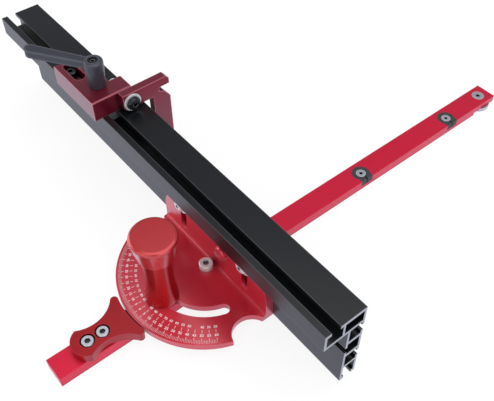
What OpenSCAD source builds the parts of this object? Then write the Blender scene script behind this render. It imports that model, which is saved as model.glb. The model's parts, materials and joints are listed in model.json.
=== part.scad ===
// Miter gauge for a table saw: a guide bar that runs in the table's slot, a
// protractor head that swings on it, a clamping handle, a slotted fence and a
// flip stop on the fence. Lengths are in millimetres.
// The origin lies on the head's pivot axis at the underside of the bar.
// +X points to the right, +Y along the bar away from the user, +Z up.

/* [Guide bar] */
// Length of the guide bar
bar_length = 450; // [390:1:520]
// Width of the guide bar, made for a standard table slot
bar_width = 19; // [18.4:0.1:20]
// Thickness of the guide bar
bar_thick = 9.5; // [8.5:0.1:11]
// From the bar's near end to the pivot axis
pivot_inset = 127.7; // [122:0.1:160]
// Bevel along the bar's four long edges
bar_bevel = 0.4; // [0.2:0.1:1]
// Length of the thinned far end
relief_length = 26; // [24:0.5:40]

/* [Expansion discs] */
// Radius of the split discs that take up play in the table's slot
disc_radius = 7.6; // [6.5:0.1:7.8]
// Distance of the discs from the bar's middle line
disc_offset = 1.8; // [1.2:0.1:2.5]
// From the bar's far end to the far disc
disc_far_inset = 57.6; // [45:0.1:80]
// From the near disc to the far disc
disc_spacing = 106.3; // [60:0.1:120]
// Half the width of a disc where it reaches the bar's side
disc_leg = 6; // [4:0.1:6.5]
// Thickness of a disc
disc_thick = 5.5; // [4:0.1:6.5]
// Width of the cut that splits a disc
disc_slit = 1.2; // [0.8:0.1:2]
// Diameter of the countersunk head of a disc screw
disc_screw_head = 8.2; // [7:0.1:9]
// Diameter of a disc screw's shank
disc_screw_d = 4; // [3:0.1:5]

/* [End washer] */
// Diameter of the washer that rides in a T-shaped table slot
end_washer_d = 23; // [21:0.5:26]
// Thickness of that washer
end_washer_thick = 3; // [2:0.1:3.5]
// From the bar's far end to the washer's axis
end_washer_inset = 11.2; // [10.5:0.1:14]
// Diameter of the flat head of the washer's screw
end_screw_head = 11; // [9:0.1:12]
// Diameter of that screw's shank
end_screw_d = 6; // [4:0.1:6]

/* [Protractor head] */
// Radius of the head's rim about the pivot
head_radius = 65.8; // [62:0.1:72]
// Thickness of the head's plate
plate_thick = 5; // [4:0.1:7]
// Half the width of the head at the upright flange
flange_half = 59.5; // [54:0.1:64]
// From the pivot axis to the flange's far face
flange_face_y = 13.5; // [12:0.1:16]
// Thickness of the upright flange
flange_thick = 6.5; // [5:0.1:8]
// Height of the flange above the underside of the bar
flange_top = 58; // [56:0.1:66]
// Height at which the flange's sides start to lean in
shoulder_z = 28; // [24:0.5:32]
// Radius of the flange's shoulders
shoulder_r = 21; // [16:0.5:24]
// Radius of the fillet between flange and plate
flange_fillet = 1.5; // [0.5:0.1:2.5]
// Radius of the notch in each side of the head
notch_r = 14.2; // [12:0.1:16]
// Distance of the notches' centres from the middle line
notch_x = 64.7; // [62:0.1:68]
// Distance of the notches' centres in front of the pivot axis
notch_y = 9.4; // [8:0.1:12]
// Radius of the arc slot's middle line, which is also the handle's place
arc_slot_r = 39.1; // [36:0.1:41]
// Width of the arc slot
arc_slot_width = 8.2; // [8:0.1:9]
// Angle from the middle of the arc slot to the centre of its rounded end
arc_slot_half = 71.5; // [60:0.5:74]

/* [Flange fasteners] */
// Distance of the flange's slots from the middle line
slot_x = 35.6; // [26:0.1:38]
// Width of the flange's slots
flange_slot_width = 7; // [5.6:0.1:8]
// Height of the lower end of the flange's slots
flange_slot_bottom = 21; // [18:0.5:30]
// Metal left above the flange's slots
flange_slot_roof = 3.6; // [3:0.1:4]
// Diameter of the flange screws
flange_screw_d = 5; // [4:0.1:5.4]
// Diameter of the flange screws' button heads
flange_screw_head = 10.5; // [8:0.1:11]
// Height of the flange screws' button heads
flange_screw_head_h = 3.1; // [2:0.1:4]
// Diameter of the washers under them
flange_washer_d = 15; // [13:0.1:16]
// Thickness of the washers under them
flange_washer_thick = 1.6; // [0.8:0.1:2]
// Length of the slot nuts along the fence
slot_nut_length = 16; // [12:0.5:24]
// Thickness of the slot nuts
slot_nut_thick = 5; // [4:0.1:7]
// Diameter of the small peg in the flange
peg_d = 10; // [8:0.1:11]
// How far the peg stands out of the flange
peg_length = 4.5; // [3:0.1:6]
// Bevel round the peg's end
peg_bevel = 0.8; // [0.3:0.1:1.5]
// Distance of the peg from the middle line
peg_x = 13; // [8:0.1:16]
// Height of the peg
peg_z = 41; // [36:0.1:44]

/* [Pointer plate] */
// Thickness of the pointer plate
pointer_thick = 7.6; // [6.5:0.1:9]
// Gap between the head's rim and the pointer plate
pointer_gap = 1.6; // [1.2:0.1:3]
// Radius of the plate's round near end
pointer_end_r = 12.3; // [11:0.1:13]
// From the head's rim to the centre of that round end
pointer_reach = 33.4; // [31:0.1:38]
// Radius of the hollow in each side
pointer_side_r = 24.4; // [22:0.1:25]
// Distance of the hollows' centres from the middle line
pointer_side_x = 32.7; // [32:0.1:34]
// From the head's rim to the hollows' centres
pointer_side_reach = 24.4; // [23.5:0.1:25]
// Radius of the rounded tips of the horns
horn_tip_r = 2.9; // [2:0.1:3.2]
// From the head's rim to the first plate screw
pointer_screw_reach = 22.2; // [20.5:0.1:24]
// From the first plate screw to the second
pointer_screw_spacing = 11.7; // [11.4:0.1:13]
// Diameter of the plate screws
pointer_screw_d = 5; // [4:0.1:5]
// Diameter of the plate screws' heads
pointer_screw_head = 8.9; // [8:0.1:9]
// Width of the recess round each head
pointer_recess_gap = 0.9; // [0.3:0.1:1.1]

/* [Pivot screw] */
// Diameter of the pivot screw
pivot_d = 6; // [5:0.1:8]
// Diameter of the pivot screw's head
pivot_head = 10.3; // [9.5:0.1:12]
// Height of the pivot screw's head
pivot_head_h = 4.8; // [3:0.1:6]

/* [Clamping handle] */
// Radius of the handle's foot
handle_foot_r = 11.9; // [10:0.1:12.5]
// Radius of the handle at its waist
handle_waist_r = 10.2; // [9:0.1:11]
// Height of the waist above the head's plate
waist_height = 26.3; // [24:0.1:28]
// Radius of the hollow that makes the waist
waist_hollow_r = 140; // [110:1:200]
// Radius of the neck under the cap
neck_r = 11.6; // [11:0.1:12.2]
// Radius of the cap at its lower edge
cap_foot_r = 13.1; // [12.4:0.1:13.6]
// Height of the cap's lower edge above the head's plate
cap_foot_height = 47.9; // [46:0.1:52]
// Radius of the cap at its rim
cap_r = 16.5; // [15:0.1:17]
// Radius of the rounded rim
cap_rim_r = 2.5; // [1.5:0.1:3]
// Height of the whole handle above the head's plate
handle_height = 67.6; // [64:0.1:70]
// Diameter of the handle's stud
handle_stud_d = 7.9; // [6:0.1:7.9]

/* [Fence] */
// Length of the fence
fence_length = 400; // [300:1:500]
// From the middle line to the fence's right end
fence_right = 125.9; // [90:0.1:180]
// Height of the fence
fence_height = 75; // [74:0.5:80]
// Depth of the fence's top, from back to face
fence_depth = 33.8; // [33:0.1:36]
// Gap between the bar's top and the fence's lower edge
fence_lift = 0.5; // [0.3:0.1:2]
// Depth of the fence below its top
stem_depth = 13.6; // [13:0.1:14]
// Height of the fence's top, from its floor plate up
crown_height = 15; // [14.6:0.1:16]
// Thickness of the walls round the lower slots
fence_wall = 1.7; // [1.4:0.1:2]
// Thickness of the walls of the fence's top
crown_wall = 1.8; // [1.5:0.1:2.2]
// Thickness of the plate that roofs the fence
roof_thick = 2.7; // [2.2:0.1:3]
// Thickness of the plate below the top slot
floor_thick = 2.3; // [2:0.1:2.6]
// Inner width of the top slot
top_slot_width = 13.1; // [12.8:0.1:13.4]
// Width of the top slot's mouth
top_slot_mouth = 7.4; // [7:0.1:8]
// From the fence's back to the middle of that mouth
top_mouth_u = 8.7; // [8.5:0.1:8.8]
// Inner height of the upper face slot
upper_slot_height = 12.7; // [12:0.1:13]
// Width of the upper face slot's mouth
upper_slot_mouth = 6.5; // [6:0.1:7]
// Thickness of the plates between the slots
rib_thick = 2.8; // [2.4:0.1:3]
// Inner height of the back slot
back_slot_height = 12; // [11.8:0.1:12.4]
// Width of the back slot's mouth
back_slot_mouth = 5.8; // [5.6:0.1:6.4]
// How far that mouth lies below the slot's middle
back_mouth_drop = 0.6; // [0:0.1:1]
// Inner height of the lower face slot
lower_slot_height = 12.2; // [11.8:0.1:12.4]
// Width of the lower face slot's mouth
lower_slot_mouth = 6; // [5.6:0.1:6.6]
// Thickness of the lips of the slot in the fence's lower edge
foot_lip = 3; // [2.4:0.1:3.4]
// Width of the mouth in the fence's lower edge
foot_mouth = 6.7; // [6:0.1:7.2]
// Thickness of the plate over the slot in the lower edge
foot_roof = 2.2; // [2:0.1:2.6]

/* [Flip stop] */
// Length of the stop's block along the fence
stop_length = 56; // [50:0.5:64]
// Height of the stop's block
stop_height = 16.4; // [15.9:0.1:19]
// From the fence's left end to the stop's left end
stop_place = 105.8; // [20:0.1:200]
// How far the block hangs over the fence's back
stop_overhang = 5.8; // [3:0.1:8]
// Depth of the block, from back to front
stop_depth = 23; // [21:0.1:25]
// Width of the lug that carries the arm
lug_width = 14.7; // [12:0.1:18]
// How far the lug reaches in front of the block
lug_reach = 9.9; // [9.5:0.1:12]
// Bevel along the block's two upper end edges
stop_bevel = 0.8; // [0.4:0.1:1.5]
// Length of the pocket in the block's top
pocket_length = 24; // [20:0.5:25]
// Width of the pocket
pocket_width = 9; // [8.8:0.1:10]
// Depth of the pocket
pocket_depth = 8.3; // [6:0.1:9]
// From the block's left end to the pocket
pocket_inset = 3.2; // [2:0.1:4]
// From the block's back to the pocket's middle line
pocket_y = 9.1; // [8:0.1:10]
// From the middle of the pocket's round left end to its screw
pocket_screw_shift = 0.6; // [0.4:0.1:4]
// Diameter of the head of the pocket's screw
pocket_screw_head = 8.7; // [7:0.1:8.7]
// Height of the head of the pocket's screw
pocket_screw_head_h = 4.6; // [3.5:0.1:5]
// Diameter of the pocket's screw
pocket_screw_d = 5; // [4:0.1:5]
// From the block's right end to the lever's axis
lever_inset = 16.4; // [15:0.1:17]
// Length of the nut in the top slot
stop_nut_length = 30; // [20:0.5:36]
// Width of the nut in the top slot
stop_nut_width = 12; // [11:0.1:12]
// Thickness of the nut in the top slot
stop_nut_thick = 5; // [4:0.1:7]

/* [Clamping lever] */
// Diameter of the lever's stud
lever_stud_d = 6; // [5:0.1:6.4]
// Radius of the hub's foot
hub_foot_r = 5.9; // [5:0.1:6.4]
// Radius of the hub at the arm's height
hub_r = 7.2; // [6.4:0.1:7.6]
// Height of the hub
hub_height = 22.6; // [21:0.1:25]
// Height at which the hub is widest
hub_wide_height = 14; // [12:0.1:17]
// Radius of the rounding on the hub's top
hub_round = 2; // [1:0.1:2.5]
// Radius of the recess in the hub's top
hub_recess_r = 3.9; // [3.6:0.1:4.2]
// Depth of that recess
hub_recess_depth = 3; // [2:0.1:4]
// From the lever's axis to the centre of the arm's tip
lever_reach = 46; // [40:0.5:60]
// Direction of the lever, in degrees from +X
lever_angle = -139.2; // [-180:0.1:-100]
// Rise of the lever's arm from hub to tip
lever_rise = 5.5; // [4:0.1:9]
// Width of the arm next to the hub
lever_root_width = 6.4; // [5:0.1:8]
// Width of the arm's tip
lever_tip_width = 8.6; // [7:0.1:10]
// Thickness of the arm
lever_thick = 6; // [5:0.1:7]
// How far the arm's top starts below the hub's top
lever_drop = 1.2; // [0.8:0.1:2]

/* [Flip arm] */
// Thickness of the flip arm
arm_thick = 6.5; // [5:0.1:8]
// Radius of the arm's eye about its pivot
arm_eye_r = 7.9; // [7.2:0.1:7.9]
// From the arm's pivot to its flat rear end
arm_tail = 7.2; // [6.6:0.1:7.6]
// Diameter of the arm's pivot screw
arm_screw_d = 6; // [5:0.1:7]
// From the arm's pivot to its front edge
arm_reach = 33.1; // [31:0.1:38]
// Width of the leg that hangs in front of the fence
leg_width = 14.9; // [12:0.1:16]
// Height of the leg's lower end above the fence's lower edge
leg_clearance = 8; // [4:0.5:30]
// Depth of the arm above the gap between fence and leg
arm_depth = 13.6; // [12.5:0.1:14.4]
// Width of the hook's slot
hook_width = 4.6; // [4.4:0.1:6]
// Depth of the hook's slot
hook_depth = 9.5; // [7:0.1:11]
// Height of the hook slot's upper edge below the arm's top
hook_drop = 7.3; // [7:0.1:9]
// Bevel of the corner above the hook's slot
arm_top_bevel = 2.4; // [1:0.1:3]
// Depth of the bevel below the hook's slot
hook_lower_run = 5.3; // [3:0.1:6]
// Height of the bevel below the hook's slot
hook_lower_bevel = 7.2; // [5:0.1:9]
// Diameter of the washer on the arm
arm_washer_d = 14; // [12:0.1:14.6]
// Thickness of the washer on the arm
arm_washer_thick = 1.2; // [0.8:0.1:2]
// Diameter of the head of the arm's screw
arm_screw_head = 10.6; // [9:0.1:12]
// Height of the head of the arm's screw
arm_screw_head_h = 3.4; // [2.5:0.1:4]
// Width across the corners of the domed nut
arm_nut_d = 11.5; // [10:0.1:12]
// Height of the domed nut's hexagon
arm_nut_h = 3.6; // [3:0.1:5]
// Gap between the domed nut and the front of the block
nut_clear = 0.4; // [0.2:0.1:1]

/* [Fits] */
// Radial gap round a shaft or screw in its hole
fit_gap = 0.05; // [0.02:0.01:0.1]
// Gap between flat faces that slide on each other
slide_gap = 0.1; // [0.05:0.01:0.2]

/* [Output] */
// Piece to draw

/* [Hidden] */

crimson = [0.84, 0.13, 0.20];
head_red = [0.66, 0.13, 0.18];
deep_red = [0.56, 0.09, 0.13];
stop_red = [0.42, 0.10, 0.15];
black_anodised = [0.15, 0.16, 0.17];
lever_grey = [0.27, 0.27, 0.31];
disc_black = [0.12, 0.13, 0.13];
steel = [0.78, 0.78, 0.80];
dark_steel = [0.22, 0.22, 0.24];

round_faces = 48;
through = 1;
// Rounded ends cross the curves they run into by this much, so none only grazes
crossing = 0.04;

// Levels, from the table up
plate_bottom = bar_thick + slide_gap;
plate_top = plate_bottom + plate_thick;
fence_bottom = bar_thick + fence_lift;
fence_top = fence_bottom + fence_height;
crown_floor = fence_height - crown_height;
stop_bottom = fence_top + slide_gap;
stop_top = stop_bottom + stop_height;

// Places along the bar
bar_far_end = bar_length - pivot_inset;
end_washer_y = bar_far_end - end_washer_inset;
relief_depth = end_washer_thick + 2 * slide_gap;
pivot_hole_floor = 0.8;
pointer_end_y = head_radius + pointer_reach;
pointer_side_y = head_radius + pointer_side_reach;
pointer_screw_y = head_radius + pointer_screw_reach;
disc_far_y = bar_far_end - disc_far_inset;
disc_near_y = disc_far_y - disc_spacing;

// Places of the fence's section
stem_back_y = flange_face_y + slide_gap;
fence_back_y = stem_back_y + stem_depth - fence_depth;
fence_face_y = stem_back_y + stem_depth;
fence_left_x = fence_right - fence_length;
stem_u = fence_depth - stem_depth;
slot_inner_u = stem_u + fence_wall;
slot_inner_width = stem_depth - 2 * fence_wall;
upper_slot_v = crown_floor - upper_slot_height;
back_slot_v = upper_slot_v - rib_thick - back_slot_height;
lower_slot_v = back_slot_v - rib_thick - lower_slot_height;
foot_slot_height = lower_slot_v - foot_roof - foot_lip;
back_slot_z = fence_bottom + back_slot_v + back_slot_height / 2 - back_mouth_drop;
top_slot_y = fence_back_y + top_mouth_u;

// Places of the flip stop
stop_left_x = fence_left_x + stop_place;
stop_right_x = stop_left_x + stop_length;
stop_back_y = fence_back_y - stop_overhang;
stop_front_y = stop_back_y + stop_depth;
lever_x = stop_right_x - lever_inset;
lever_top = stop_top + slide_gap + hub_height;
arm_pivot_y = stop_front_y + arm_nut_d * cos(30) / 2 + nut_clear;
arm_pivot_z = fence_top + arm_eye_r + 3 * slide_gap;
arm_left_x = stop_right_x + 3 * slide_gap;
arm_right_x = arm_left_x + arm_thick;

// A rounded bar in the plane, from one end's centre to the other's
module slot_shape(length, width) {
  square([length - width, width], center = true);
  for (side = [-1, 1])
    translate([side * (length - width) / 2, 0])
      circle(d = width, $fn = round_faces);
}

// A profile in the Y-Z plane, drawn out along +X
module along_x(length) {
  rotate([90, 0, 90]) linear_extrude(length) children();
}

// A profile in the X-Z plane, drawn out along -Y
module along_minus_y(length) {
  rotate([90, 0, 0]) linear_extrude(length) children();
}

// A screw with its head standing on z = 0 and its shank below
module cap_screw(head_d, head_h, shank_d, shank_length, key) {
  edge = head_h / 10;
  difference() {
    rotate_extrude($fn = round_faces)
      polygon([
        [0, -shank_length], [shank_d / 2, -shank_length], [shank_d / 2, 0],
        [head_d / 2, 0], [head_d / 2, head_h - edge],
        [head_d / 2 - edge, head_h], [0, head_h]
      ]);
    translate([0, 0, head_h * 0.35]) cylinder(d = key, h = head_h, $fn = 6);
  }
}

// The same with a low, domed head
module button_screw(head_d, head_h, shank_d, shank_length, key) {
  land = key * 0.75;
  run = head_d / 2 - land;
  dome_rise = min(head_h * 0.65, run * 0.75);
  dome_r = (run * run + dome_rise * dome_rise) / (2 * dome_rise);
  difference() {
    rotate_extrude($fn = round_faces) {
      translate([0, -shank_length]) square([shank_d / 2, shank_length]);
      square([land, head_h]);
      square([head_d / 2, head_h - dome_rise]);
      intersection() {
        square([head_d / 2, head_h]);
        translate([land, head_h - dome_r]) circle(dome_r, $fn = 96);
      }
    }
    translate([0, 0, head_h * 0.3]) cylinder(d = key, h = head_h, $fn = 6);
  }
}

// The same with a flat head sunk below z = 0
module flat_screw(head_d, shank_d, shank_length, key) {
  sink = (head_d - shank_d) / 2;
  difference() {
    rotate_extrude($fn = round_faces)
      polygon([
        [0, -shank_length], [shank_d / 2, -shank_length],
        [shank_d / 2, -sink], [head_d / 2, 0], [0, 0]
      ]);
    translate([0, 0, -sink * 1.3]) cylinder(d = key, h = 2 * sink, $fn = 6);
  }
}

// The hole that a flat screw needs, with a gap all round
module flat_screw_hole(head_d, shank_d, depth) {
  sink = (head_d - shank_d) / 2;
  rotate_extrude($fn = round_faces)
    polygon([
      [0, -depth], [shank_d / 2 + fit_gap, -depth],
      [shank_d / 2 + fit_gap, -sink], [head_d / 2 + fit_gap, 0],
      [head_d / 2 + fit_gap, through], [0, through]
    ]);
}

// Outline of an expansion disc or, with a gap, of its pocket
module disc_outline(gap) {
  translate([disc_offset, 0])
    circle(disc_radius + gap, $fn = round_faces);
  translate([disc_offset, -disc_leg - gap])
    square([bar_width / 2 - disc_offset + (gap > 0 ? through : 0), 2 * (disc_leg + gap)]);
}

module bar() {
  half = bar_width / 2;
  color(crimson)
    difference() {
      translate([0, bar_far_end, 0])
        along_minus_y(bar_length)
          polygon([
            [bar_bevel - half, 0], [half - bar_bevel, 0],
            [half, bar_bevel], [half, bar_thick - bar_bevel],
            [half - bar_bevel, bar_thick], [bar_bevel - half, bar_thick],
            [-half, bar_thick - bar_bevel], [-half, bar_bevel]
          ]);
      translate([-bar_width, bar_far_end - relief_length, -through])
        cube([2 * bar_width, relief_length + through, relief_depth + through]);
      for (y = [disc_near_y, disc_far_y])
        translate([0, y, 0]) {
          translate([0, 0, bar_thick - disc_thick - slide_gap])
            linear_extrude(disc_thick + 2 * through)
              disc_outline(slide_gap);
          translate([disc_offset, 0, -through])
            cylinder(r = disc_screw_d / 2 + fit_gap, h = bar_thick, $fn = round_faces);
        }
      translate([0, end_washer_y, bar_thick])
        flat_screw_hole(end_screw_head, end_screw_d, bar_thick + through);
      translate([0, 0, pivot_hole_floor])
        cylinder(r = pivot_d / 2 + fit_gap, h = bar_thick, $fn = round_faces);
      translate([0, -arc_slot_r, -through])
        cylinder(r = handle_stud_d / 2 + fit_gap, h = bar_thick + 2 * through, $fn = round_faces);
      for (y = [pointer_screw_y, pointer_screw_y + pointer_screw_spacing])
        translate([0, -y, -through])
          cylinder(r = pointer_screw_d / 2 + fit_gap, h = bar_thick + 2 * through, $fn = round_faces);
    }
}

module expansion_disc(y) {
  color(disc_black)
    translate([0, y, bar_thick - disc_thick])
      difference() {
        linear_extrude(disc_thick)
          difference() {
            disc_outline(0);
            translate([disc_offset, -disc_slit / 2])
              square([bar_width, disc_slit]);
          }
        translate([disc_offset, 0, disc_thick])
          flat_screw_hole(disc_screw_head, disc_screw_d, disc_thick + through);
      }
}

module disc_screw(y) {
  color(steel)
    translate([disc_offset, y, bar_thick])
      flat_screw(disc_screw_head, disc_screw_d, bar_thick - 1, 3.2);
}

module end_washer() {
  color(steel)
    translate([0, end_washer_y, relief_depth - end_washer_thick])
      difference() {
        cylinder(d = end_washer_d, h = end_washer_thick, $fn = 64);
        translate([0, 0, -through])
          cylinder(r = end_screw_d / 2 + fit_gap, h = end_washer_thick + 2 * through, $fn = round_faces);
      }
}

module end_washer_screw() {
  color(steel)
    translate([0, end_washer_y, bar_thick])
      flat_screw(end_screw_head, end_screw_d, bar_thick - relief_depth + end_washer_thick, 4);
}

// The horns' tips touch both the arc round the head and the side hollows
pointer_arc_r = head_radius + pointer_gap;
side_far = norm([pointer_side_x, pointer_side_y]);
tip_from_pivot = pointer_arc_r + horn_tip_r;
tip_from_side = pointer_side_r + horn_tip_r;
tip_along = (pow(tip_from_pivot, 2) - pow(tip_from_side, 2) + pow(side_far, 2)) / (2 * side_far);
tip_across = sqrt(pow(tip_from_pivot, 2) - pow(tip_along, 2));
tip_x = (tip_along * pointer_side_x - tip_across * pointer_side_y) / side_far;
tip_y = (-tip_along * pointer_side_y - tip_across * pointer_side_x) / side_far;

// From a horn's tip towards the pivot, well inside the arc
arc_end = [tip_x, tip_y] * 0.9;
// From a horn's tip into the side hollow
side_dir = [tip_x - pointer_side_x, tip_y + pointer_side_y] / tip_from_side;
side_end = [pointer_side_x, -pointer_side_y] + side_dir * pointer_side_r * 0.8;

module pointer_outline() {
  difference() {
    union() {
      translate([0, -pointer_end_y]) circle(pointer_end_r, $fn = 64);
      polygon([
        [-pointer_end_r, -pointer_end_y], [pointer_end_r, -pointer_end_y],
        side_end, [tip_x, tip_y], arc_end, [-arc_end[0], arc_end[1]],
        [-tip_x, tip_y], [-side_end[0], side_end[1]]
      ]);
    }
    circle(pointer_arc_r, $fn = 128);
    for (side = [-1, 1])
      translate([side * pointer_side_x, -pointer_side_y])
        circle(pointer_side_r, $fn = 96);
  }
  for (side = [-1, 1])
    translate([side * tip_x, tip_y]) circle(horn_tip_r + crossing, $fn = round_faces);
}

pointer_screw_head_h = pointer_thick * 0.62;

module pointer_plate() {
  color(deep_red)
    translate([0, 0, bar_thick])
      difference() {
        linear_extrude(pointer_thick) pointer_outline();
        for (y = [pointer_screw_y, pointer_screw_y + pointer_screw_spacing])
          translate([0, -y, -through]) {
            cylinder(r = pointer_screw_d / 2 + fit_gap, h = pointer_thick + 2 * through, $fn = round_faces);
            translate([0, 0, through + pointer_thick - pointer_screw_head_h])
              cylinder(r = pointer_screw_head / 2 + pointer_recess_gap, h = pointer_thick, $fn = round_faces);
          }
      }
}

module pointer_screw(y) {
  seat = bar_thick + pointer_thick - pointer_screw_head_h;
  color(steel)
    translate([0, -y, seat])
      cap_screw(pointer_screw_head, pointer_screw_head_h - 2 * slide_gap, pointer_screw_d, seat - 1, 4.6);
}

module pivot_screw() {
  seat = plate_top + slide_gap;
  color(steel)
    translate([0, 0, seat])
      cap_screw(pivot_head, pivot_head_h, pivot_d, seat - 1, 5);
}

module arc_slot_shape() {
  far = 2 * head_radius;
  difference() {
    circle(arc_slot_r + arc_slot_width / 2, $fn = 128);
    circle(arc_slot_r - arc_slot_width / 2, $fn = 128);
    polygon([
      [0, 0], far * [sin(arc_slot_half), -cos(arc_slot_half)], [far, far],
      [-far, far], far * [-sin(arc_slot_half), -cos(arc_slot_half)]
    ]);
  }
  for (side = [-1, 1])
    rotate(side * arc_slot_half)
      translate([0, -arc_slot_r])
        circle(arc_slot_width / 2 + crossing, $fn = round_faces);
}

module head_outline() {
  difference() {
    union() {
      intersection() {
        circle(head_radius, $fn = 180);
        translate([-2 * head_radius, -2 * head_radius])
          square([4 * head_radius, 2 * head_radius - notch_y]);
      }
      translate([-flange_half, -notch_y])
        square([2 * flange_half, notch_y + flange_face_y]);
    }
    for (side = [-1, 1])
      translate([side * notch_x, -notch_y]) circle(notch_r, $fn = 96);
  }
}

// Half of the flange seen from the front; the shoulder is an arc that turns
// into a slope of 45 degrees
module flange_half_outline() {
  shoulder_x = flange_half - shoulder_r;
  knee = shoulder_r * sqrt(0.5);
  slope_end = shoulder_x + knee - (flange_top - shoulder_z - knee);
  translate([0, plate_bottom]) square([flange_half, shoulder_z - plate_bottom]);
  polygon([
    [0, shoulder_z], [shoulder_x, shoulder_z],
    [shoulder_x + knee, shoulder_z + knee], [slope_end, flange_top], [0, flange_top]
  ]);
  intersection() {
    translate([shoulder_x, shoulder_z]) circle(shoulder_r, $fn = 96);
    polygon([
      [shoulder_x, shoulder_z], [flange_half + 1, shoulder_z],
      [flange_half + 1, shoulder_z + shoulder_r + 1],
      [shoulder_x + shoulder_r + 1, shoulder_z + shoulder_r + 1]
    ]);
  }
}

module flange_outline() {
  slot_top = flange_top - flange_slot_roof;
  slot_length = slot_top - flange_slot_bottom;
  difference() {
    union() {
      flange_half_outline();
      mirror([1, 0]) flange_half_outline();
    }
    for (side = [-1, 1])
      translate([side * slot_x, flange_slot_bottom + slot_length / 2])
        rotate(90) slot_shape(slot_length, flange_slot_width);
    translate([peg_x, peg_z]) circle(peg_d / 4 + fit_gap, $fn = round_faces);
  }
}

module protractor_head() {
  color(head_red) {
    translate([0, 0, plate_bottom])
      linear_extrude(plate_thick)
        difference() {
          head_outline();
          arc_slot_shape();
          circle(pivot_d / 2 + fit_gap, $fn = round_faces);
        }
    translate([0, flange_face_y, 0]) along_minus_y(flange_thick) flange_outline();
    translate([-flange_half, flange_face_y - flange_thick, plate_top])
      along_x(2 * flange_half)
        difference() {
          translate([-flange_fillet, -1]) square([flange_fillet + 1, flange_fillet + 1]);
          translate([-flange_fillet, flange_fillet])
            circle(flange_fillet + crossing, $fn = round_faces);
        }
  }
}

module flange_peg() {
  back = flange_face_y - flange_thick;
  color(head_red)
    translate([peg_x, back, peg_z])
      rotate([90, 0, 0])
        rotate_extrude($fn = round_faces)
          polygon([
            [0, -flange_thick], [peg_d / 4, -flange_thick], [peg_d / 4, 0],
            [peg_d / 2, 0], [peg_d / 2, peg_length - peg_bevel],
            [peg_d / 2 - peg_bevel, peg_length], [0, peg_length]
          ]);
}

washer_face_y = flange_face_y - flange_thick - slide_gap;
nut_back_y = stem_back_y + fence_wall + slide_gap;

module flange_screw(side) {
  seat = washer_face_y - flange_washer_thick;
  color(steel)
    translate([side * slot_x, seat, back_slot_z])
      rotate([90, 0, 0])
        button_screw(
          flange_screw_head, flange_screw_head_h, flange_screw_d,
          nut_back_y + slot_nut_thick + 1 - seat, 3.2
        );
}

module flange_washer(side) {
  color(steel)
    translate([side * slot_x, washer_face_y, back_slot_z])
      along_minus_y(flange_washer_thick)
        difference() {
          circle(d = flange_washer_d, $fn = round_faces);
          circle(flange_screw_d / 2 + fit_gap, $fn = round_faces);
        }
}

module slot_nut(side) {
  height = back_slot_height - 2 * (back_mouth_drop + slide_gap);
  color(steel)
    translate([side * slot_x, nut_back_y + slot_nut_thick, back_slot_z])
      along_minus_y(slot_nut_thick)
        difference() {
          square([slot_nut_length, height], center = true);
          circle(flange_screw_d / 2 + fit_gap, $fn = round_faces);
        }
}

// The handle's section: foot, hollow waist, neck and cap with a rounded rim
module handle_section() {
  rim_z = handle_height - cap_rim_r;
  difference() {
    union() {
      square([handle_foot_r, waist_height]);
      translate([0, waist_height - 1]) square([neck_r, cap_foot_height - waist_height + 2]);
    }
    translate([handle_waist_r + waist_hollow_r, waist_height])
      circle(waist_hollow_r, $fn = 240);
  }
  polygon([
    [0, cap_foot_height], [cap_foot_r, cap_foot_height], [cap_r, rim_z],
    [cap_r - cap_rim_r, handle_height], [0, handle_height]
  ]);
  translate([cap_r - cap_rim_r, rim_z]) circle(cap_rim_r, $fn = round_faces);
}

handle_bottom = plate_top + slide_gap;

module handle_knob() {
  color(head_red)
    translate([0, -arc_slot_r, handle_bottom])
      difference() {
        rotate_extrude($fn = 72) handle_section();
        translate([0, 0, -through])
          cylinder(r = handle_stud_d / 2 + fit_gap, h = waist_height + through, $fn = round_faces);
      }
}

module handle_stud() {
  color(steel)
    translate([0, -arc_slot_r, 1])
      cylinder(d = handle_stud_d, h = handle_bottom + waist_height - 2, $fn = round_faces);
}

// The fence's section, from its back at u = 0 and its lower edge at v = 0
module fence_section() {
  crown_v = crown_floor + floor_thick;
  crown_room = crown_height - floor_thick - roof_thick;
  web = crown_wall + top_slot_width;
  tube_u = web + fence_wall;
  difference() {
    union() {
      translate([0, crown_floor]) square([fence_depth, crown_height]);
      translate([stem_u, 0]) square([stem_depth, crown_floor]);
    }
    translate([crown_wall, crown_v]) square([top_slot_width, crown_room]);
    translate([top_mouth_u - top_slot_mouth / 2, crown_v])
      square([top_slot_mouth, crown_height]);
    translate([tube_u, crown_v])
      square([fence_depth - fence_wall - tube_u, crown_room]);
    face_slot(upper_slot_v, upper_slot_height, upper_slot_mouth);
    face_slot(lower_slot_v, lower_slot_height, lower_slot_mouth);
    translate([slot_inner_u, back_slot_v]) square([slot_inner_width, back_slot_height]);
    translate([stem_u - 1, back_slot_v + (back_slot_height - back_slot_mouth) / 2 - back_mouth_drop])
      square([fence_wall + 2, back_slot_mouth]);
    translate([slot_inner_u, foot_lip]) square([slot_inner_width, foot_slot_height]);
    translate([slot_inner_u + (slot_inner_width - foot_mouth) / 2, -1])
      square([foot_mouth, foot_lip + 2]);
  }
}

// A slot in the fence's face; its mouth lies in the slot's middle
module face_slot(v, height, mouth) {
  translate([slot_inner_u, v]) square([slot_inner_width, height]);
  translate([slot_inner_u + 1, v + (height - mouth) / 2])
    square([slot_inner_width + fence_wall, mouth]);
}

module fence() {
  color(black_anodised)
    translate([fence_left_x, fence_back_y, fence_bottom])
      along_x(fence_length) fence_section();
}

pocket_floor = stop_top - pocket_depth;
pocket_mid_y = stop_back_y + pocket_y;
pocket_screw_x = stop_left_x + pocket_inset + pocket_width / 2 + pocket_screw_shift;

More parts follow.
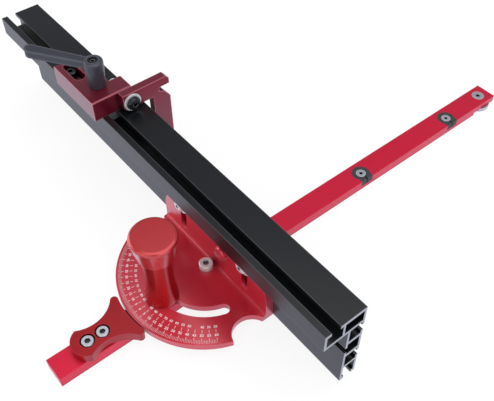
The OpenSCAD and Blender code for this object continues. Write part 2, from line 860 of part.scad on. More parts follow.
module stop_block() {
  color(stop_red)
    difference() {
      intersection() {
        translate([0, 0, stop_bottom])
          linear_extrude(stop_height) {
            translate([stop_left_x, stop_back_y]) square([stop_length, stop_depth]);
            translate([stop_right_x - lug_width, stop_back_y])
              square([lug_width, stop_depth + lug_reach]);
          }
        translate([0, stop_front_y + lug_reach + 1, 0])
          along_minus_y(stop_depth + lug_reach + 2)
            polygon([
              [stop_left_x, stop_bottom], [stop_right_x, stop_bottom],
              [stop_right_x, stop_top - stop_bevel], [stop_right_x - stop_bevel, stop_top],
              [stop_left_x + stop_bevel, stop_top], [stop_left_x, stop_top - stop_bevel]
            ]);
      }
      translate([stop_left_x + pocket_inset + pocket_length / 2, pocket_mid_y, pocket_floor])
        linear_extrude(pocket_depth + through) slot_shape(pocket_length, pocket_width);
      translate([pocket_screw_x, pocket_mid_y, stop_bottom - through])
        cylinder(r = pocket_screw_d / 2 + fit_gap, h = stop_height, $fn = round_faces);
      translate([lever_x, top_slot_y, stop_bottom - through])
        cylinder(r = lever_stud_d / 2 + fit_gap, h = stop_height + 2 * through, $fn = round_faces);
      translate([stop_left_x, arm_pivot_y, arm_pivot_z])
        along_x(stop_length + 1) circle(arm_screw_d / 2 + fit_gap, $fn = round_faces);
    }
}

stop_nut_top = fence_top - roof_thick - slide_gap;

// A T-shaped nut: its neck stands in the slot's mouth
module stop_nut() {
  flange_y = stop_nut_width / 2;
  neck_y = top_slot_mouth / 2 - 2 * slide_gap;
  color(steel)
    difference() {
      translate([lever_x - stop_nut_length / 2, top_slot_y, stop_nut_top])
        along_x(stop_nut_length)
          polygon([
            [-flange_y, -stop_nut_thick], [flange_y, -stop_nut_thick],
            [flange_y, 0], [neck_y, 0], [neck_y, roof_thick],
            [-neck_y, roof_thick], [-neck_y, 0], [-flange_y, 0]
          ]);
      translate([lever_x, top_slot_y, stop_nut_top - stop_nut_thick - through])
        cylinder(r = lever_stud_d / 2 + fit_gap, h = 3 * stop_nut_thick, $fn = round_faces);
    }
}

module stop_pocket_screw() {
  color(steel)
    translate([pocket_screw_x, pocket_mid_y, pocket_floor])
      cap_screw(pocket_screw_head, pocket_screw_head_h, pocket_screw_d, stop_height - pocket_depth - 1, 4.6);
}

// The hub's section: a cone that widens, then a cylinder with a rounded top
module hub_section() {
  polygon([
    [0, 0], [hub_foot_r, 0], [hub_r, hub_wide_height],
    [hub_r, hub_height - hub_round], [hub_r - hub_round, hub_height], [0, hub_height]
  ]);
  translate([hub_r - hub_round, hub_height - hub_round])
    circle(hub_round, $fn = round_faces);
}

// The arm seen from above, from the hub's axis along +X to its round tip
module lever_plan() {
  polygon([
    [0, -lever_root_width / 2], [lever_reach, -lever_tip_width / 2],
    [lever_reach, lever_tip_width / 2], [0, lever_root_width / 2]
  ]);
  translate([lever_reach, 0]) circle(d = lever_tip_width, $fn = round_faces);
}

// The arm seen from the side; its ends follow the rise
module lever_side() {
  end = lever_reach + lever_tip_width;
  rise = lever_rise * end / lever_reach;
  polygon([
    [0, -lever_thick / 2], [end, rise - lever_thick / 2],
    [end, rise + lever_thick / 2], [0, lever_thick / 2]
  ]);
}

lever_root_z = lever_top - lever_drop - lever_thick / 2;

module stop_lever() {
  color(lever_grey)
    translate([lever_x, top_slot_y, 0])
      difference() {
        union() {
          translate([0, 0, lever_top - hub_height]) rotate_extrude($fn = 64) hub_section();
          rotate(lever_angle)
            intersection() {
              translate([0, 0, lever_root_z - lever_thick])
                linear_extrude(lever_rise * 2 + lever_thick * 2) lever_plan();
              translate([0, lever_tip_width, lever_root_z])
                along_minus_y(2 * lever_tip_width) lever_side();
            }
        }
        translate([0, 0, lever_top - hub_recess_depth])
          cylinder(r = hub_recess_r, h = hub_recess_depth + lever_thick, $fn = round_faces);
        translate([0, 0, stop_top])
          cylinder(r = lever_stud_d / 2 + fit_gap, h = hub_height + lever_thick, $fn = round_faces);
      }
}

lever_screw_seat = lever_top - hub_recess_depth;
lever_stud_top = lever_screw_seat - 5;

module lever_stud() {
  stud_bottom = stop_nut_top - stop_nut_thick - 1;
  color(dark_steel)
    translate([lever_x, top_slot_y, stud_bottom])
      cylinder(d = lever_stud_d, h = lever_stud_top - stud_bottom, $fn = round_faces);
}

module lever_screw() {
  color(dark_steel)
    translate([lever_x, top_slot_y, lever_screw_seat])
      cap_screw(2 * (hub_recess_r - fit_gap * 4), hub_recess_depth * 0.7, lever_stud_d,
                lever_screw_seat - lever_stud_top, 3);
}

// The arm from the side, with y measured from its pivot and z from its pivot
module arm_outline() {
  top = arm_eye_r;
  under = top - arm_depth;
  inner = arm_reach - leg_width;
  foot = fence_bottom + leg_clearance - arm_pivot_z;
  slot_mid = top - hook_drop - hook_width / 2;
  slot_low = slot_mid - hook_width / 2;
  difference() {
    union() {
      circle(arm_eye_r, $fn = 64);
      polygon([
        [0, under], [inner, under], [inner, foot], [arm_reach, foot],
        [arm_reach, slot_low - hook_lower_bevel], [arm_reach - hook_lower_run, slot_low],
        [arm_reach - hook_lower_run, slot_mid], [arm_reach, slot_mid],
        [arm_reach, top - arm_top_bevel], [arm_reach - arm_top_bevel, top],
        [-arm_tail, top], [-arm_tail, 0]
      ]);
    }
    translate([-2 * arm_eye_r - arm_tail, -arm_eye_r])
      square([2 * arm_eye_r, 3 * arm_eye_r]);
    circle(arm_screw_d / 2 + fit_gap, $fn = round_faces);
    translate([arm_reach - hook_depth + hook_width / 2, slot_mid]) {
      circle(d = hook_width, $fn = round_faces);
      translate([0, -hook_width / 2]) square([arm_reach, hook_width]);
    }
  }
}

module stop_arm() {
  color(stop_red)
    translate([arm_left_x, arm_pivot_y, arm_pivot_z])
      along_x(arm_thick) arm_outline();
}

module arm_washer() {
  color(steel)
    translate([arm_right_x + slide_gap, arm_pivot_y, arm_pivot_z])
      along_x(arm_washer_thick)
        difference() {
          circle(d = arm_washer_d, $fn = round_faces);
          circle(arm_screw_d / 2 + fit_gap, $fn = round_faces);
        }
}

arm_nut_x = stop_right_x - lug_width;

module arm_screw() {
  seat = arm_right_x + slide_gap + arm_washer_thick;
  color(dark_steel)
    translate([seat, arm_pivot_y, arm_pivot_z])
      rotate([0, 90, 0])
        button_screw(arm_screw_head, arm_screw_head_h, arm_screw_d, seat - arm_nut_x + arm_nut_h, 4);
}

// A hexagon with a dome on it, screwed against the lug's left face
module arm_nut() {
  dome_r = arm_nut_d * 0.4;
  color(steel)
    translate([arm_nut_x, arm_pivot_y, arm_pivot_z])
      rotate([0, -90, 0])
        difference() {
          union() {
            cylinder(d = arm_nut_d, h = arm_nut_h, $fn = 6);
            translate([0, 0, arm_nut_h])
              rotate_extrude($fn = round_faces)
                intersection() {
                  circle(dome_r, $fn = 64);
                  square(dome_r);
                }
          }
          translate([0, 0, -through])
            cylinder(r = arm_screw_d / 2 + fit_gap, h = arm_nut_h + through + fit_gap, $fn = round_faces);
        }
}

bar();
expansion_disc(disc_near_y);  // expansion_disc_near
expansion_disc(disc_far_y);  // expansion_disc_far
disc_screw(disc_near_y);  // disc_screw_near
disc_screw(disc_far_y);  // disc_screw_far
end_washer();
end_washer_screw();
pointer_plate();
pointer_screw(pointer_screw_y + pointer_screw_spacing);  // pointer_screw_front
pointer_screw(pointer_screw_y);  // pointer_screw_rear
pivot_screw();
protractor_head();
flange_peg();
flange_screw(-1);  // flange_screw_left
flange_screw(1);  // flange_screw_right
flange_washer(-1);  // flange_washer_left
flange_washer(1);  // flange_washer_right
slot_nut(-1);  // slot_nut_left
slot_nut(1);  // slot_nut_right
handle_knob();
handle_stud();
fence();
stop_block();
stop_nut();
stop_pocket_screw();
stop_lever();
lever_stud();
lever_screw();
stop_arm();
arm_screw();
arm_washer();
arm_nut();
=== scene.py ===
# %% [markdown]
# # A miter gauge for a table saw
# A miter gauge guides a board past a saw blade at a chosen angle. A flat bar runs in the
# table's slot, a protractor head swings on the bar, and a slotted fence is clamped to the
# head. This notebook dresses the exact model in anodised metal, adds the engraved scale and
# sets up the camera, the light and a pale floor. Lengths are in metres, and a number times MM
# is in millimetres.

# %% Load the frame and keep its box
import json
import math

import bmesh
import bpy
from mathutils import Matrix, Vector


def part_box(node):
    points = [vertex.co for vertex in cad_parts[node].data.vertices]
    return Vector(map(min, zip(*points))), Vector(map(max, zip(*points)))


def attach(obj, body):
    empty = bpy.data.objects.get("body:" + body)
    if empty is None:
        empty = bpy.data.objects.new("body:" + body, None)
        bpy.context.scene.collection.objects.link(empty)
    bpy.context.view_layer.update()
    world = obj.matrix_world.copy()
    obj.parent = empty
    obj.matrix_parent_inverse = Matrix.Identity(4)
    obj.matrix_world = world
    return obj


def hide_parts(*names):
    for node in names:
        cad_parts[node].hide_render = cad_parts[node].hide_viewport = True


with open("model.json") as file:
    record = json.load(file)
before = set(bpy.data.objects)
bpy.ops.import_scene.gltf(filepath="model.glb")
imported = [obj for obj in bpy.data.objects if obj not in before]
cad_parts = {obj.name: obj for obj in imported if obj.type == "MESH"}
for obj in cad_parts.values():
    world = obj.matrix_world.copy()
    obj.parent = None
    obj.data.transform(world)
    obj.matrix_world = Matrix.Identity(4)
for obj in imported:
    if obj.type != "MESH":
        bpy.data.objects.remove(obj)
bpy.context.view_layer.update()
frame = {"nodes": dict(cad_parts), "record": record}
MM = 0.001

# %% [markdown]
# ## The camera
# The photograph was taken from above the right-hand side of the gauge, with a fairly short
# lens. The bar, the fence and the round head have known shapes, so their lines fix the eye
# point, the directions of the picture's sides and the lens. Those are written here as three
# unit vectors, which are the columns of the camera's matrix.

# %% Camera
eye = Vector((261.70, -173.70, 442.98)) * MM
picture_right = Vector((0.63155, 0.77534, -0.00179))
picture_down = Vector((0.58143, -0.47513, -0.66044))
line_of_sight = Vector((-0.51292, 0.41606, -0.75087))

lens = bpy.data.cameras.new("camera")
lens.lens = 52.637
lens.sensor_width = 36
lens.clip_end = 50
camera = bpy.data.objects.new("camera", lens)
turn = Matrix((picture_right, -picture_down, -line_of_sight)).transposed()
camera.matrix_world = Matrix.Translation(eye) @ turn.to_4x4()
bpy.context.scene.collection.objects.link(camera)
bpy.context.scene.camera = camera
print("camera at", tuple(round(v, 3) for v in eye))

# %% [markdown]
# ## Small helpers for node trees
# Every material below is a few nodes with their sockets set by name. One helper makes a
# node, sets its sockets and returns it, and another opens a fresh material. A third opens a
# shader node group with named sockets, so that an effect is built once and used in many
# materials.

# %% Helpers
def rgb(red, green, blue):
    """A colour as a screen shows it, 0 to 255, in the linear form that sockets take."""
    def linear(level):
        level /= 255
        return level / 12.92 if level < 0.04045 else ((level + 0.055) / 1.055) ** 2.4
    return (linear(red), linear(green), linear(blue), 1)


def put(tree, kind, inputs=None, **settings):
    """Adds a node, sets its properties and sockets, and links a socket given as a source."""
    made = tree.nodes.new(kind)
    for name, value in settings.items():
        setattr(made, name, value)
    for name, value in (inputs or {}).items():
        if isinstance(value, bpy.types.NodeSocket):
            tree.links.new(value, made.inputs[name])
        else:
            made.inputs[name].default_value = value
    return made


def maths(tree, operation, a, b=0.0, clamp=False):
    """The result of one Math node; a and b are numbers or sources."""
    made = put(tree, "ShaderNodeMath", {0: a, 1: b}, operation=operation, use_clamp=clamp)
    return made.outputs[0]


def mix_colours(tree, share, first, second, blend="MIX"):
    """The colour between two others; share is 0 for the first and 1 for the second."""
    return put(tree, "ShaderNodeMix", {0: share, 6: first, 7: second},
               data_type="RGBA", blend_type=blend).outputs[2]


def mix_vectors(tree, share, first, second):
    """The direction between two others; share is 0 for the first and 1 for the second."""
    return put(tree, "ShaderNodeMix", {0: share, 4: first, 5: second},
               data_type="VECTOR").outputs[1]


def either(tree, mask, where_one, where_zero):
    """One number where the mask is 1 and another where it is 0."""
    return maths(tree, "ADD", where_zero, maths(tree, "MULTIPLY", mask, where_one - where_zero))


def object_place(tree):
    """The shaded point in the object's own coordinates, which are the part's, in metres."""
    return put(tree, "ShaderNodeTexCoord").outputs["Object"]


def noise(tree, place, scale, detail):
    made = put(tree, "ShaderNodeTexNoise", {"Vector": place, "Scale": scale, "Detail": detail})
    return made.outputs["Fac"]


def new_group(name, inputs, outputs):
    """An empty shader group; inputs are (name, socket kind, value), outputs (name, kind)."""
    group = bpy.data.node_groups.new(name, "ShaderNodeTree")
    for title, kind, value in inputs:
        socket = group.interface.new_socket(title, in_out="INPUT", socket_type=kind)
        socket.default_value = value
    for title, kind in outputs:
        group.interface.new_socket(title, in_out="OUTPUT", socket_type=kind)
    given = group.nodes.new("NodeGroupInput").outputs
    results = group.nodes.new("NodeGroupOutput").inputs
    return group, given, results


def use(tree, group, inputs=None):
    """Places a shader group in a tree and sets or links its inputs."""
    return put(tree, "ShaderNodeGroup", inputs, node_tree=group)


FLOAT, COLOUR, VECTOR = "NodeSocketFloat", "NodeSocketColor", "NodeSocketVector"
GREY = (0.5, 0.5, 0.5, 1)
WHITE = (1, 1, 1, 1)
print("helpers ready; screen grey 188 is", round(rgb(188, 188, 188)[0], 3), "in linear form")

# %% [markdown]
# ## Blasted grain
# Aluminium parts are blasted with fine beads before they are anodised, which leaves tiny
# dents and a satin look. The dye also takes a little unevenly. Two noises in the object's
# own coordinates give both: a fine one for the dents and the roughness, and a broad one for
# the shade of the dye.

# %% Group: blasted grain
grain, g_in, g_out = new_group(
    "blasted_grain",
    [("Colour", COLOUR, GREY), ("Grain Size", FLOAT, 0.25), ("Unevenness", FLOAT, 0.12),
     ("Roughness", FLOAT, 0.35)],
    [("Colour", COLOUR), ("Roughness", FLOAT), ("Height", FLOAT)])
CLOUDS_PER_METRE = 45.0
ROUGHNESS_SPREAD = 0.25
fineness = maths(grain, "DIVIDE", 1 / MM, g_in["Grain Size"])
dents = noise(grain, object_place(grain), fineness, 2.0)
cloud = noise(grain, object_place(grain), CLOUDS_PER_METRE, 3.0)
uneven = maths(grain, "MULTIPLY", maths(grain, "SUBTRACT", cloud, 0.5), g_in["Unevenness"])
shade = maths(grain, "ADD", 1.0, uneven)
dyed = put(grain, "ShaderNodeVectorMath", {0: g_in["Colour"], "Scale": shade}, operation="SCALE")
grain.links.new(dyed.outputs[0], g_out["Colour"])
spread = maths(grain, "MULTIPLY", maths(grain, "SUBTRACT", dents, 0.5), ROUGHNESS_SPREAD)
grain.links.new(maths(grain, "ADD", g_in["Roughness"], spread), g_out["Roughness"])
grain.links.new(dents, g_out["Height"])
print("group", grain.name, "with", len(grain.nodes), "nodes")

# %% [markdown]
# ## Painted edge highlights
# Machined edges are broken with a tiny bevel, which catches the light. A Bevel node gives the
# normal as if the edge were rounded, which softens the highlight. The group also paints the
# edges: it mixes an edge colour into the surface colour. Where that colour is lighter, as on most
# parts, this is a painted highlight, and on the bar it is a darker painted edge. The mask needs
# more care, because only an edge that stands out is painted, and an inner corner is not. Rays sent
# into the metal tell them apart: near an outer edge they soon leave it again through the next
# face, so the inside version of the Ambient Occlusion node falls below one there and nowhere else.

# %% Group: painted edge highlights
edges, e_in, e_out = new_group(
    "painted_edge_tone",
    [("Colour", COLOUR, GREY), ("Painted Edge Colour", COLOUR, (0.8, 0.8, 0.8, 1)),
     ("Amount", FLOAT, 0.5), ("Width", FLOAT, 0.35)],
    [("Colour", COLOUR), ("Normal", VECTOR)])
EDGE_GAIN = 2.2
width = maths(edges, "MULTIPLY", e_in["Width"], MM)
soft = put(edges, "ShaderNodeBevel", {"Radius": width}, samples=4).outputs[0]
depth = put(edges, "ShaderNodeAmbientOcclusion", {"Distance": maths(edges, "MULTIPLY", width, 2.0)},
            samples=6, inside=True, only_local=True).outputs["AO"]
mask = maths(edges, "MULTIPLY", maths(edges, "SUBTRACT", 1.0, depth), EDGE_GAIN, clamp=True)
mask = maths(edges, "MULTIPLY", mask, e_in["Amount"], clamp=True)
# painted highlight: along outer edges the surface colour is mixed towards the edge colour
painted_edge = mix_colours(edges, mask, e_in["Colour"], e_in["Painted Edge Colour"])
edges.links.new(painted_edge, e_out["Colour"])
edges.links.new(soft, e_out["Normal"])
print("group", edges.name, "with", len(edges.nodes), "nodes")

# %% [markdown]
# ## Painted shade in hollows
# Sockets, slots and narrow gaps lie in shade. The same Ambient Occlusion node, looking
# outwards this time, finds the places that see little of the sky, and the group darkens the
# colour there towards near black as painted shade.

# %% Group: painted shade in hollows
hollows, h_in, h_out = new_group(
    "painted_hollow_shade",
    [("Colour", COLOUR, GREY), ("Reach", FLOAT, 4.0), ("Strength", FLOAT, 0.7)],
    [("Colour", COLOUR)])
DEEPEST_SHADE = (0.004, 0.003, 0.004, 1)
OPEN_SKY, CLOSED_SKY = 0.75, 0.2
sky = put(hollows, "ShaderNodeAmbientOcclusion",
          {"Distance": maths(hollows, "MULTIPLY", h_in["Reach"], MM)}, samples=6).outputs["AO"]
closed = put(hollows, "ShaderNodeMapRange",
             {"Value": sky, "From Min": OPEN_SKY, "From Max": CLOSED_SKY}).outputs[0]
closed = maths(hollows, "MULTIPLY", closed, h_in["Strength"], clamp=True)
# painted shade: where little sky is seen, the colour is mixed towards near black
hollows.links.new(mix_colours(hollows, closed, h_in["Colour"], DEEPEST_SHADE), h_out["Colour"])
print("group", hollows.name, "with", len(hollows.nodes), "nodes")

# %% [markdown]
# ## Soft inner creases
# Where two faces meet in a rounded inner corner, as the plate and the upright flange do, the
# blasting and the dye leave one soft gradient and no bright line. A wide Bevel normal gives
# that gradient. It is let in only where the outward Ambient Occlusion finds a corner, so the
# outer edges keep their crisp shape.

# %% Group: soft creases
creases, c_in, c_out = new_group(
    "soft_creases", [("Normal", VECTOR, (0, 0, 1)), ("Width", FLOAT, 4.0)], [("Normal", VECTOR)])
NO_CORNER, FULL_CORNER = 0.97, 0.8
broad = maths(creases, "MULTIPLY", c_in["Width"], MM)
bent = put(creases, "ShaderNodeBevel", {"Radius": broad}, samples=8).outputs[0]
sky = put(creases, "ShaderNodeAmbientOcclusion", {"Distance": broad},
          samples=8, only_local=True).outputs["AO"]
corner = put(creases, "ShaderNodeMapRange",
             {"Value": sky, "From Min": NO_CORNER, "From Max": FULL_CORNER}).outputs[0]
creases.links.new(mix_vectors(creases, corner, c_in["Normal"], bent), c_out["Normal"])
print("group", creases.name, "with", len(creases.nodes), "nodes")

# %% [markdown]
# ## Drawn lines and turned rings
# An extrusion carries faint lines along its length from the die, and a turned handle
# carries faint rings round its axis from the tool. Both are one noise: stretched along X
# for the fence, and read by distance from the axis and by height for the handle.

# %% Group: tool lines
lines, l_in, l_out = new_group(
    "tool_lines",
    [("Axis", VECTOR, (0, 0, 0)), ("Turned", FLOAT, 0.0), ("Line Width", FLOAT, 0.3)],
    [("Height", FLOAT)])
STRETCHED_X = (0.004, 1, 1)
away = put(lines, "ShaderNodeVectorMath", {0: object_place(lines), 1: l_in["Axis"]},
           operation="SUBTRACT").outputs[0]
apart = put(lines, "ShaderNodeSeparateXYZ", {0: away}).outputs
squares = maths(lines, "ADD", maths(lines, "POWER", apart[0], 2.0),
                maths(lines, "POWER", apart[1], 2.0))
ring = put(lines, "ShaderNodeCombineXYZ",
           {0: maths(lines, "SQRT", squares), 1: apart[2]}).outputs[0]
drawn = put(lines, "ShaderNodeVectorMath", {0: away, 1: STRETCHED_X},
            operation="MULTIPLY").outputs[0]
path = mix_vectors(lines, l_in["Turned"], drawn, ring)
count = maths(lines, "DIVIDE", 1 / MM, l_in["Line Width"])
lines.links.new(noise(lines, path, count, 1.0), l_out["Height"])
print("group", lines.name, "with", len(lines.nodes), "nodes")

# %% [markdown]
# ## Anodised metal
# Dyed anodised aluminium is metal under a clear, coloured layer: it keeps a soft metallic
# sheen and its reflections take the dye's colour. The shader is therefore partly metallic,
# with a satin roughness from the grain and a thin coat. The same recipe serves for all the
# reds and for the black, with other colours and amounts.

# %% Anodised metal
def open_material(name):
    material = bpy.data.materials.new(name)
    material.use_nodes = True
    tree = material.node_tree
    return material, tree, tree.nodes["Principled BSDF"]


DENT_STRENGTH = 0.3
LINE_STRENGTH = 0.5
COAT_ROUGHNESS = 0.2


def anodised(name, colour, edge, roughness=0.36, metallic=0.6, coat=0.9, painted_edge_amount=0.45,
             edge_width=0.35, grain_size=0.22, bump=0.010, tool=None, crease=None,
             hollow=(4.0, 0.6)):
    """Dyed aluminium, with sizes in millimetres.

    edge is the colour painted along outer edges, bump the depth of the grain, crease the width of
    a soft inner corner, hollow the (reach, strength) of painted shade in hollows, and tool the
    (axis, turned, line width, depth) of lines that a tool left.
    """
    material, tree, shader = open_material(name)
    satin = use(tree, grain, {"Colour": colour, "Grain Size": grain_size, "Roughness": roughness})
    # painted highlight along outer edges, or a darker painted edge where the edge colour is darker
    rim = use(tree, edges, {"Colour": satin.outputs["Colour"], "Painted Edge Colour": edge,
                            "Amount": painted_edge_amount, "Width": edge_width})
    facing = rim.outputs["Normal"]
    if crease:
        facing = use(tree, creases, {"Normal": facing, "Width": crease}).outputs["Normal"]
    dent = put(tree, "ShaderNodeBump", {"Height": satin.outputs["Height"], "Normal": facing,
                                        "Strength": DENT_STRENGTH, "Distance": bump * MM})
    normal = dent.outputs[0]
    if tool:
        axis, turned, line_width, depth = tool
        cut = use(tree, lines, {"Axis": axis, "Turned": turned, "Line Width": line_width})
        normal = put(tree, "ShaderNodeBump", {"Height": cut.outputs["Height"], "Normal": normal,
                                              "Strength": LINE_STRENGTH,
                                              "Distance": depth * MM}).outputs[0]
    # painted shade in hollows
    painted_shade = use(tree, hollows, {"Colour": rim.outputs["Colour"], "Reach": hollow[0],
                               "Strength": hollow[1]})
    tree.links.new(painted_shade.outputs["Colour"], shader.inputs["Base Color"])
    tree.links.new(satin.outputs["Roughness"], shader.inputs["Roughness"])
    tree.links.new(normal, shader.inputs["Normal"])
    shader.inputs["Metallic"].default_value = metallic
    shader.inputs["Coat Weight"].default_value = coat
    shader.inputs["Coat Roughness"].default_value = COAT_ROUGHNESS
    return material


handle_low, handle_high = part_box("handle_knob")
handle_axis = ((handle_low[0] + handle_high[0]) / 2, (handle_low[1] + handle_high[1]) / 2, 0)
# Each red paints its edges (a highlight, but darker on the bar) and paints shade into its hollows,
# strongest on the stop.
bar_red = anodised("bar_red", rgb(214, 10, 56), rgb(150, 12, 40), painted_edge_amount=0.6,
                   metallic=0.45, coat=0.25)
head_red = anodised("head_red", rgb(204, 40, 60), rgb(224, 110, 124), metallic=0.45, crease=6.0)
deep_red = anodised("deep_red", rgb(160, 2, 18), rgb(190, 60, 74), coat=0.35)
handle_red = anodised("handle_red", rgb(190, 30, 38), rgb(250, 160, 160), roughness=0.26,
                      painted_edge_amount=0.9, tool=(handle_axis, 1.0, 0.25, 0.004))
stop_red = anodised("stop_red", rgb(120, 18, 44), rgb(226, 130, 142), coat=0.8,
                    painted_edge_amount=0.7, hollow=(7.0, 1.0))
print("reds made; the handle turns about", tuple(round(v, 4) for v in handle_axis))

# %% [markdown]
# ## The handle's cap
# The handle is turned in one piece of one anodising. The colour of its cap's straight side is
# tinted paler, a painted reflection of the pale ground, while the hollow neck below is tinted
# deeper as painted shade and made more like bare metal, with less coat. A mask by height above
# the cap's lower edge sets the two apart on the one material.

# %% Cap mask
CAP_EDGE_HEIGHT = 47.9 * MM
NECK_SHADE_TINT, CAP_REFLECTION_TINT = (0.86, 0.6, 0.65, 1), (0.94, 0.8, 0.8, 1)
NECK_METAL, CAP_METAL = 0.85, 0.55
NECK_COAT, CAP_COAT = 0.45, 1.0
cap_edge = handle_low[2] + CAP_EDGE_HEIGHT
tree = handle_red.node_tree
shader = tree.nodes["Principled BSDF"]
up = put(tree, "ShaderNodeSeparateXYZ", {0: object_place(tree)}).outputs[2]
on_cap = maths(tree, "GREATER_THAN", up, cap_edge)
dyed = shader.inputs["Base Color"].links[0].from_socket
# painted reflection on the cap's side, painted shade on the neck
painted_tint = mix_colours(tree, on_cap, NECK_SHADE_TINT, CAP_REFLECTION_TINT)
tree.links.new(mix_colours(tree, 1.0, dyed, painted_tint, "MULTIPLY"), shader.inputs["Base Color"])
tree.links.new(either(tree, on_cap, CAP_METAL, NECK_METAL), shader.inputs["Metallic"])
tree.links.new(either(tree, on_cap, CAP_COAT, NECK_COAT), shader.inputs["Coat Weight"])
print("cap begins at", round(cap_edge / MM, 1), "mm")

# %% [markdown]
# ## The black fence with bright cut ends
# The extrusion is anodised in a long length and sawn afterwards, so its two ends show bare,
# bright metal with saw marks. The mask is simply the place along X: everything within a
# hair of either end belongs to the cut face.

# %% Fence
fence_low, fence_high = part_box("fence")
fence_black, tree, shader = open_material("fence_black")
satin = use(tree, grain, {"Colour": rgb(13, 16, 20), "Grain Size": 0.3, "Roughness": 0.42,
                           "Unevenness": 0.2})
# painted highlight: outer edges of the black skin are mixed towards a mid grey
rim = use(tree, edges, {"Colour": satin.outputs["Colour"], "Painted Edge Colour": rgb(120, 122, 126),
                         "Amount": 0.35, "Width": 0.35})
die = use(tree, lines, {"Turned": 0.0, "Line Width": 0.6})
along_x = put(tree, "ShaderNodeSeparateXYZ", {0: object_place(tree)}).outputs[0]
HAIR = 0.03 * MM
CUT_METAL, SKIN_METAL = 0.9, 0.3
at_right = maths(tree, "GREATER_THAN", along_x, fence_high[0] - HAIR)
at_left = maths(tree, "LESS_THAN", along_x, fence_low[0] + HAIR)
cut_face = maths(tree, "MAXIMUM", at_right, at_left)
skin = mix_colours(tree, cut_face, rim.outputs["Colour"], rgb(164, 166, 170))
relief = put(tree, "ShaderNodeBump",
             {"Height": die.outputs["Height"], "Normal": rim.outputs["Normal"],
              "Strength": 0.4, "Distance": 0.006 * MM}).outputs[0]
tree.links.new(skin, shader.inputs["Base Color"])
tree.links.new(either(tree, cut_face, CUT_METAL, SKIN_METAL), shader.inputs["Metallic"])
tree.links.new(satin.outputs["Roughness"], shader.inputs["Roughness"])
tree.links.new(relief, shader.inputs["Normal"])
shader.inputs["Specular IOR Level"].default_value = 0.2
shader.inputs["Coat Weight"].default_value = 0.5
shader.inputs["Coat Roughness"].default_value = 0.25
print("fence runs from", round(fence_low[0] / MM, 1), "to", round(fence_high[0] / MM, 1), "mm")

# %% [markdown]
# ## Steel, plastic and the lever
# Most screws are bright plated steel, turned or stamped, so they get a metal with a little
# unevenness. The flange's screws and washers and the pivot screw have a duller, paler zinc, and
# the stop's screws are black oxide. The lever is cast and powder coated: a grainy dark grey,
# with wide, soft edges that carry a wide painted highlight. The expansion discs are moulded
# black plastic. Each of these has a painted highlight on its outer edges and painted shade in
# its hollows.

# %% Steel, plastic and lever
def steel(name, colour, roughness, metallic):
    material, tree, shader = open_material(name)
    satin = use(tree, grain, {"Colour": colour, "Grain Size": 0.5, "Roughness": roughness,
                               "Unevenness": 0.3})
    # painted highlight: outer edges are mixed towards near white
    rim = use(tree, edges, {"Colour": satin.outputs["Colour"], "Painted Edge Colour": rgb(250, 250, 250),
                             "Amount": 0.4, "Width": 0.25})
    # painted shade: sockets and hollows are darkened towards near black
    painted_shade = use(tree, hollows, {"Colour": rim.outputs["Colour"], "Reach": 4.0, "Strength": 1.0})
    tree.links.new(painted_shade.outputs["Colour"], shader.inputs["Base Color"])
    tree.links.new(satin.outputs["Roughness"], shader.inputs["Roughness"])
    tree.links.new(rim.outputs["Normal"], shader.inputs["Normal"])
    shader.inputs["Metallic"].default_value = metallic
    return material


bright_steel = steel("bright_steel", rgb(196, 202, 206), 0.3, 0.8)
satin_zinc = steel("satin_zinc", rgb(226, 228, 228), 0.36, 0.4)
dark_steel = steel("dark_steel", rgb(40, 42, 48), 0.25, 0.7)
lever_grey = anodised("lever_grey", rgb(48, 50, 60), rgb(120, 122, 134), roughness=0.42,
                      metallic=0.2, coat=0.2, painted_edge_amount=0.35, edge_width=0.9, grain_size=0.5,
                      bump=0.02, hollow=(3.0, 1.0))
disc_black = anodised("disc_black", rgb(46, 50, 50), rgb(80, 84, 84), roughness=0.55,
                      metallic=0.0, coat=0.0, painted_edge_amount=0.4, grain_size=0.6, bump=0.02)

finishes = {
    "bar_red": bar_red, "head_red": head_red, "deep_red": deep_red, "stop_red": stop_red,
    "fence_black": fence_black, "steel": bright_steel, "dark_steel": dark_steel,
    "lever_grey": lever_grey, "disc_black": disc_black,
}
special = {
    "handle_knob": handle_red, "stop_pocket_screw": dark_steel, "pivot_screw": satin_zinc,
    "flange_washer_left": satin_zinc, "flange_washer_right": satin_zinc, "arm_washer": satin_zinc,
    "flange_screw_left": satin_zinc, "flange_screw_right": satin_zinc,
}
slot_of = {part["node"]: part["material_slot"] for part in frame["record"]["subparts"]}
for name, piece in frame["nodes"].items():
    finish = special.get(name, finishes[slot_of[name]])
    piece.data.materials.clear()
    piece.data.materials.append(finish)
print("dressed", len(frame["nodes"]), "nodes")

# %% [markdown]
# ## Round pieces shaded smoothly
# The exact model comes as loose, flat triangles, so a turned handle shows its facets. A copy
# of such a piece has its doubled corners merged, and is then shaded smoothly wherever two
# faces meet at a small angle, while true edges stay sharp. A flat area is found by walking
# over faces in the same plane, and is left flat right up to the fillet beside it. The copy
# stands for the CAD node, which is left as it is. Flat pieces have no need of this.

# %% Smooth copies
SAME_PLANE = math.radians(0.4)
SHARP_ANGLE = math.radians(28)
LARGE_AREA = 30 * MM * MM
WELD = 0.0005 * MM


def shade_curved_faces(shape):
    """Sets faces of curved surfaces smooth; a flat area of many or of large faces stays flat."""
    for edge in shape.edges:
        edge.smooth = edge.calc_face_angle(math.pi) < SHARP_ANGLE
    waiting = set(shape.faces)
    while waiting:
        area, border = [], [waiting.pop()]
        while border:
            face = border.pop()
            area.append(face)
            for edge in face.edges:
                if edge.calc_face_angle(math.pi) < SAME_PLANE:
                    beside = [other for other in edge.link_faces if other in waiting]
                    waiting.difference_update(beside)
                    border += beside
        flat = len(area) > 2 or sum(face.calc_area() for face in area) > LARGE_AREA
        for face in area:
            face.smooth = not flat


